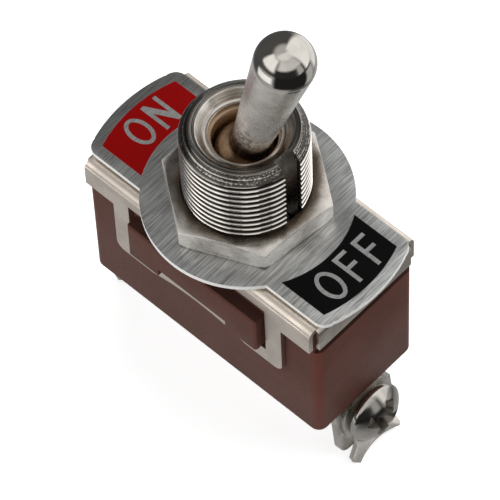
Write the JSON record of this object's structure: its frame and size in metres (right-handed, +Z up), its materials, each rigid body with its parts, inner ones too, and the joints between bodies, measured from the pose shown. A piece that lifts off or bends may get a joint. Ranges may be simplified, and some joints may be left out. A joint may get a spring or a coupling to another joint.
{
  "type": "panel toggle switch",
  "caption": "Panel toggle switch: brown moulded body in a plated frame, threaded bushing with hexagon nut, on/off legend plate, bat lever and screw terminals.",
  "frame": {"origin": "the bushing's axis in the top face of the metal frame, which seats against the panel", "axes": "+Z runs up the bushing and out of the panel, +X points at the load terminal and the off side, and +Y runs across the housing"},
  "size_m": [0.034, 0.0196, 0.0551],
  "materials": {
    "brown_moulding": "smooth brown moulded phenolic resin",
    "plated_steel": "nickel-plated pressed steel, half bright",
    "fibre_card": "plain vulcanised fibre",
    "nickel": "bright nickel plating",
    "brushed_aluminium": "brushed across the plate, with one red and one black painted field",
    "steel": "plain bright steel",
    "brass": "plain brass",
    "silver": "plain silver contact metal"
  },
  "bodies": {
    "case": {"housing": "brown_moulding", "frame": "plated_steel", "insulator": "fibre_card", "bushing": "nickel", "lock_washer": "plated_steel", "nameplate": "brushed_aluminium", "hex_nut": "nickel", "lever_pin": "steel", "saddle": "brass", "saddle_rivet": "brass", "common_terminal": "plated_steel", "load_terminal": "plated_steel", "fixed_contact": "silver", "common_screw": "nickel", "load_screw": "nickel", "common_washer": "plated_steel", "load_washer": "plated_steel"},
    "lever": {"lever": "nickel", "plunger_spring": "steel"},
    "plunger": {"plunger": "brass"},
    "rocker": {"rocker": "brass", "rocker_contact": "silver"}
  },
  "joints": [
    {"name": "lever_tilt", "type": "hinge", "parent": "case", "child": "lever", "pos_m": [0, 0, 0.0078], "axis": [0, 1, 0], "range_deg": [-32, 0]},
    {"name": "rocker_tilt", "type": "hinge", "parent": "case", "child": "rocker", "pos_m": [0, 0, -0.0072], "axis": [0, 1, 0], "range_deg": [0, 16]},
    {"name": "plunger_slide", "type": "slide", "parent": "lever", "child": "plunger", "axis": [0.2756, 0, 0.9613], "range_m": [0, 0.0012], "stiffness_N_per_m": 500, "springref_m": -0.001, "deforming": ["plunger_spring"]}
  ],
  "couplings": [
    {"joint": "rocker_tilt", "follows": "lever_tilt", "ratio": -0.5}
  ]
}
